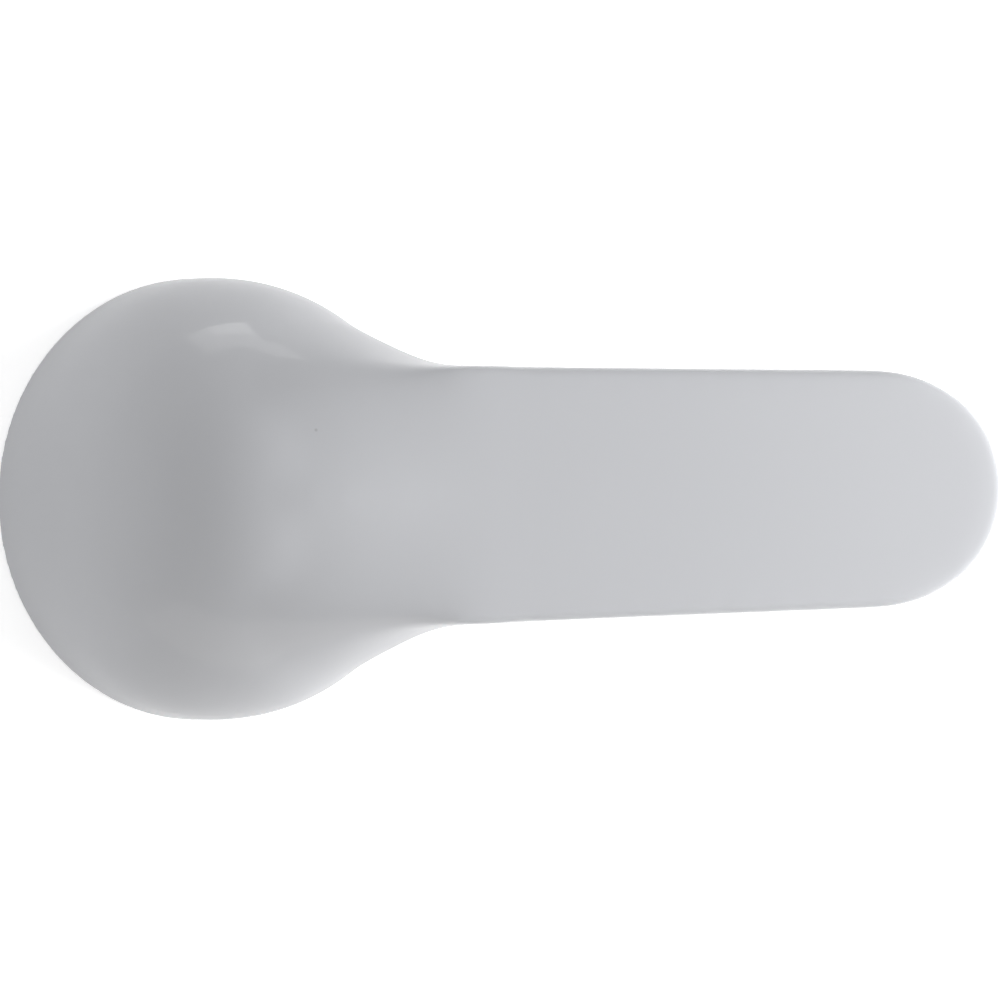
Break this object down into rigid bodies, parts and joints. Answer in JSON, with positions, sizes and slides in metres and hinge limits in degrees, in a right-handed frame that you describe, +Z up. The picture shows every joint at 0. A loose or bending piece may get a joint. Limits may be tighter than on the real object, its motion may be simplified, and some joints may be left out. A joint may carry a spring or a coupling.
{
  "type": "tap handle",
  "caption": "Lever tap handle: round domed cap with a square spindle socket, and a flat arm that rises gently to a rounded tip, fixed by a set screw behind a push-in plug.",
  "frame": {"origin": "where the spindle's axis crosses the plane of the cap's rim", "axes": "+Z up along the spindle's axis, towards the top of the dome; +X towards the tip of the arm; the part is mirror symmetric about the XZ plane"},
  "size_m": [0.101, 0.046, 0.0355],
  "materials": {
    "lacquer": "smooth pale grey gloss lacquer on a zinc casting",
    "screw_steel": "plain steel",
    "plug_plastic": "moulded plastic, close to the lacquer's colour"
  },
  "bodies": {
    "root": {"lever_body": "lacquer", "grub_screw": "screw_steel", "screw_plug": "plug_plastic"}
  },
  "joints": []
}
